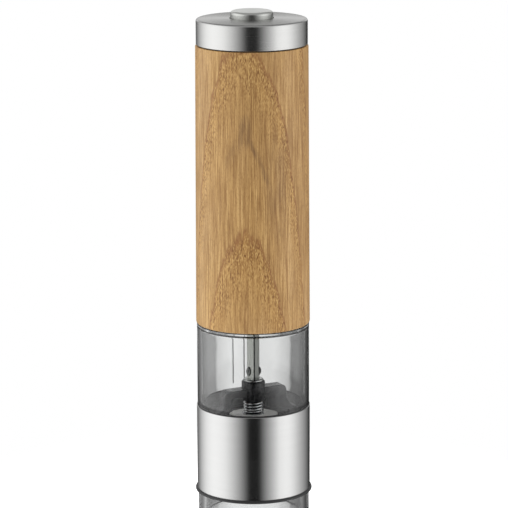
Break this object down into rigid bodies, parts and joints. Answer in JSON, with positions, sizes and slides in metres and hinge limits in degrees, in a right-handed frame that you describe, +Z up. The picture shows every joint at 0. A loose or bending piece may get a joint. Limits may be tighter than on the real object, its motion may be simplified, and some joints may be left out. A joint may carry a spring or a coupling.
{
  "type": "battery pepper mill",
  "caption": "Tall cylindrical push-button pepper mill with a wooden sleeve, steel cap and housing, clear peppercorn container and clear base cap.",
  "frame": {"origin": "centre of the base cap's underside, on the surface the mill stands on", "axes": "+Z up along the mill's axis, -Y towards the side the bridge's left arm comes forward on, +X to the right"},
  "size_m": [0.051, 0.051, 0.2233],
  "materials": {
    "brushed_steel": "brushed round the axis",
    "wood": "oiled, satin",
    "clear_plastic": "clear and polished",
    "black_plastic": "moulded, satin",
    "grey_plastic": "moulded, satin",
    "white_plastic": "moulded acetal, waxy",
    "seal_rubber": "soft, dull",
    "ceramic": "fired, matt white",
    "shaft_steel": "bright drawn",
    "spring_steel": "bright wire",
    "bronze": "sintered",
    "brass": "turned",
    "zinc_plate": "plated, satin",
    "magnet": "sintered, dull",
    "copper_winding": "enamelled wire",
    "cell_wrap": "plain printed film"
  },
  "bodies": {
    "base_cap": {"base_cap": "clear_plastic"},
    "lower_unit": {"steel_housing": "brushed_steel", "seal_ring": "seal_rubber", "pepper_container": "clear_plastic", "container_gasket": "seal_rubber", "grinder_body": "black_plastic", "ceramic_stator": "ceramic", "bridge": "black_plastic", "bearing_bush": "bronze", "bridge_screws": "zinc_plate", "grinder_spring": "spring_steel"},
    "spindle": {"spindle": "shaft_steel"},
    "rotor": {"ceramic_rotor": "ceramic", "thrust_washer": "zinc_plate"},
    "knob": {"adjust_knob": "black_plastic", "knob_insert": "brass"},
    "power_unit": {"drive_housing": "grey_plastic", "gearbox_cover": "black_plastic", "cover_screws": "zinc_plate", "output_bush": "bronze", "spigot_seal": "seal_rubber", "ring_gear": "white_plastic", "motor_plate": "zinc_plate", "motor_screws": "zinc_plate", "motor_can": "zinc_plate", "motor_magnets": "magnet", "motor_endbell": "black_plastic", "motor_terminals": "brass", "battery_holder": "grey_plastic", "batteries": "cell_wrap", "battery_springs": "spring_steel", "contact_strips": "zinc_plate", "switch_base": "black_plastic"},
    "switch_actuator": {"switch_actuator": "white_plastic"},
    "motor_rotor": {"motor_shaft": "shaft_steel", "motor_armature": "copper_winding", "motor_commutator": "copper_winding", "sun_pinion": "brass"},
    "carrier_1": {"carrier_1": "white_plastic"},
    "planet_1a": {"planet_1a": "white_plastic"},
    "planet_1b": {"planet_1b": "white_plastic"},
    "planet_1c": {"planet_1c": "white_plastic"},
    "output": {"carrier_2": "white_plastic", "drive_shaft": "shaft_steel"},
    "planet_2a": {"planet_2a": "white_plastic"},
    "planet_2b": {"planet_2b": "white_plastic"},
    "planet_2c": {"planet_2c": "white_plastic"},
    "sleeve": {"wood_sleeve": "wood", "liner_tube": "grey_plastic", "top_cap": "brushed_steel", "cap_liner": "black_plastic", "button_spring": "spring_steel"},
    "button": {"button": "brushed_steel", "button_stem": "grey_plastic"}
  },
  "joints": [
    {"name": "mill_lift", "type": "slide", "parent": "base_cap", "child": "lower_unit", "axis": [0, 0, 1], "range_m": [0, 0.02]},
    {"name": "head_lift", "type": "slide", "parent": "lower_unit", "child": "power_unit", "axis": [0, 0, 1], "range_m": [0, 0.06]},
    {"name": "sleeve_lift", "type": "slide", "parent": "power_unit", "child": "sleeve", "axis": [0, 0, 1], "range_m": [0, 0.115]},
    {"name": "button_press", "type": "slide", "parent": "sleeve", "child": "button", "axis": [0, 0, -1], "range_m": [0, 0.0015], "stiffness_N_per_m": 600, "springref_m": -0.003, "deforming": ["button_spring"]},
    {"name": "switch_press", "type": "slide", "parent": "power_unit", "child": "switch_actuator", "axis": [0, 0, -1], "range_m": [0, 0.0015]},
    {"name": "motor_spin", "type": "hinge", "parent": "power_unit", "child": "motor_rotor", "pos_m": [0, 0, 0.12], "axis": [0, 0, 1], "continuous": true},
    {"name": "carrier_1_spin", "type": "hinge", "parent": "power_unit", "child": "carrier_1", "pos_m": [0, 0, 0.0965], "axis": [0, 0, 1], "continuous": true},
    {"name": "planet_1a_spin", "type": "hinge", "parent": "carrier_1", "child": "planet_1a", "pos_m": [0.0096, 0, 0.1], "axis": [0, 0, 1], "continuous": true},
    {"name": "planet_1b_spin", "type": "hinge", "parent": "carrier_1", "child": "planet_1b", "pos_m": [-0.0048, 0.00831, 0.1], "axis": [0, 0, 1], "continuous": true},
    {"name": "planet_1c_spin", "type": "hinge", "parent": "carrier_1", "child": "planet_1c", "pos_m": [-0.0048, -0.00831, 0.1], "axis": [0, 0, 1], "continuous": true},
    {"name": "output_spin", "type": "hinge", "parent": "power_unit", "child": "output", "pos_m": [0, 0, 0.088], "axis": [0, 0, 1], "continuous": true},
    {"name": "planet_2a_spin", "type": "hinge", "parent": "output", "child": "planet_2a", "pos_m": [0.0096, 0, 0.093], "axis": [0, 0, 1], "continuous": true},
    {"name": "planet_2b_spin", "type": "hinge", "parent": "output", "child": "planet_2b", "pos_m": [-0.0048, 0.00831, 0.093], "axis": [0, 0, 1], "continuous": true},
    {"name": "planet_2c_spin", "type": "hinge", "parent": "output", "child": "planet_2c", "pos_m": [-0.0048, -0.00831, 0.093], "axis": [0, 0, 1], "continuous": true},
    {"name": "grinder_spin", "type": "hinge", "parent": "lower_unit", "child": "spindle", "pos_m": [0, 0, 0.04], "axis": [0, 0, 1], "continuous": true},
    {"name": "rotor_slide", "type": "slide", "parent": "spindle", "child": "rotor", "axis": [0, 0, 1], "range_m": [0, 0.0007], "deforming": ["grinder_spring"]},
    {"name": "adjust_turn", "type": "hinge", "parent": "rotor", "child": "knob", "pos_m": [0, 0, 0.02], "axis": [0, 0, 1], "range_deg": [0, 360]}
  ],
  "couplings": [
    {"joint": "switch_press", "follows": "button_press", "ratio": 1},
    {"joint": "carrier_1_spin", "follows": "motor_spin", "ratio": 0.25},
    {"joint": "planet_1a_spin", "follows": "motor_spin", "ratio": -0.75},
    {"joint": "planet_1b_spin", "follows": "motor_spin", "ratio": -0.75},
    {"joint": "planet_1c_spin", "follows": "motor_spin", "ratio": -0.75},
    {"joint": "output_spin", "follows": "motor_spin", "ratio": 0.0625},
    {"joint": "planet_2a_spin", "follows": "motor_spin", "ratio": -0.1875},
    {"joint": "planet_2b_spin", "follows": "motor_spin", "ratio": -0.1875},
    {"joint": "planet_2c_spin", "follows": "motor_spin", "ratio": -0.1875},
    {"joint": "grinder_spin", "follows": "motor_spin", "ratio": 0.0625},
    {"joint": "adjust_turn", "follows": "rotor_slide", "rad_per_m": 8976}
  ]
}
